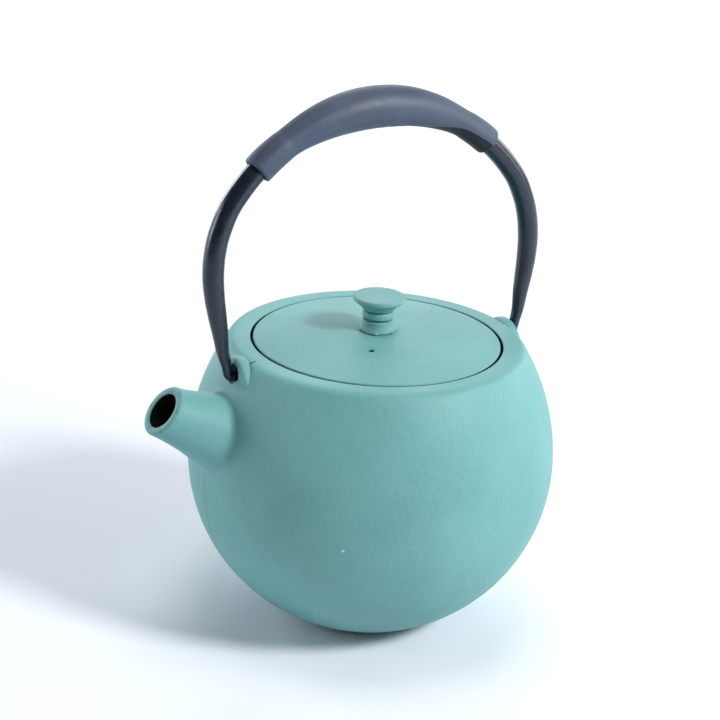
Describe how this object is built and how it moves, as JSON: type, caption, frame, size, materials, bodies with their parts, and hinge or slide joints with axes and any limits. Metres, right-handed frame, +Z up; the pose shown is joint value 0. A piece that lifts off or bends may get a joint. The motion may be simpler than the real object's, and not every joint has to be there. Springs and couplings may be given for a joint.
{
  "type": "teapot",
  "caption": "Round cast-iron teapot with a short spout, drop-in lid with a turning knob, swinging bail handle with a grip sleeve, and a lift-out infuser.",
  "frame": {"origin": "centre of the flat base, on the surface the pot stands on", "axes": "+Z up; the spout points to -X; the bail's pivot axis runs along X and the bail leans 4.35 degrees towards +Y at rest"},
  "size_m": [0.168, 0.145, 0.2124],
  "materials": {
    "green_cast_iron": "matt grey-green coating on fine-grained casting",
    "black_painted_steel": "semi-gloss black",
    "slate_rubber": "matt",
    "stainless_sheet": "fine brushed",
    "plain_pin_steel": "plain turned"
  },
  "bodies": {
    "pot": {"pot_body": "green_cast_iron"},
    "lid_group": {"lid": "green_cast_iron", "knob_seat": "green_cast_iron", "knob_washer": "plain_pin_steel"},
    "knob": {"knob_cap": "green_cast_iron", "knob_pin": "plain_pin_steel", "knob_collar": "green_cast_iron"},
    "bail": {"bail_rod": "black_painted_steel", "grip_sleeve": "slate_rubber"},
    "infuser": {"infuser_rim": "stainless_sheet", "infuser_wall": "stainless_sheet", "infuser_base": "stainless_sheet"}
  },
  "joints": [
    {"name": "bail_swing", "type": "hinge", "parent": "pot", "child": "bail", "pos_m": [0, 0, 0.1071], "axis": [1, 0, 0], "range_deg": [-90, 98.7]},
    {"name": "lid_lift", "type": "slide", "parent": "pot", "child": "lid_group", "axis": [0, 0, 1], "range_m": [0, 0.06]},
    {"name": "infuser_lift", "type": "slide", "parent": "pot", "child": "infuser", "axis": [0, 0, 1], "range_m": [0, 0.044]},
    {"name": "knob_spin", "type": "hinge", "parent": "lid_group", "child": "knob", "pos_m": [0, 0, 0.1263], "axis": [0, 0, 1], "continuous": true}
  ],
  "couplings": [
    {"joint": "infuser_lift", "follows": "lid_lift", "ratio": 0.73}
  ]
}
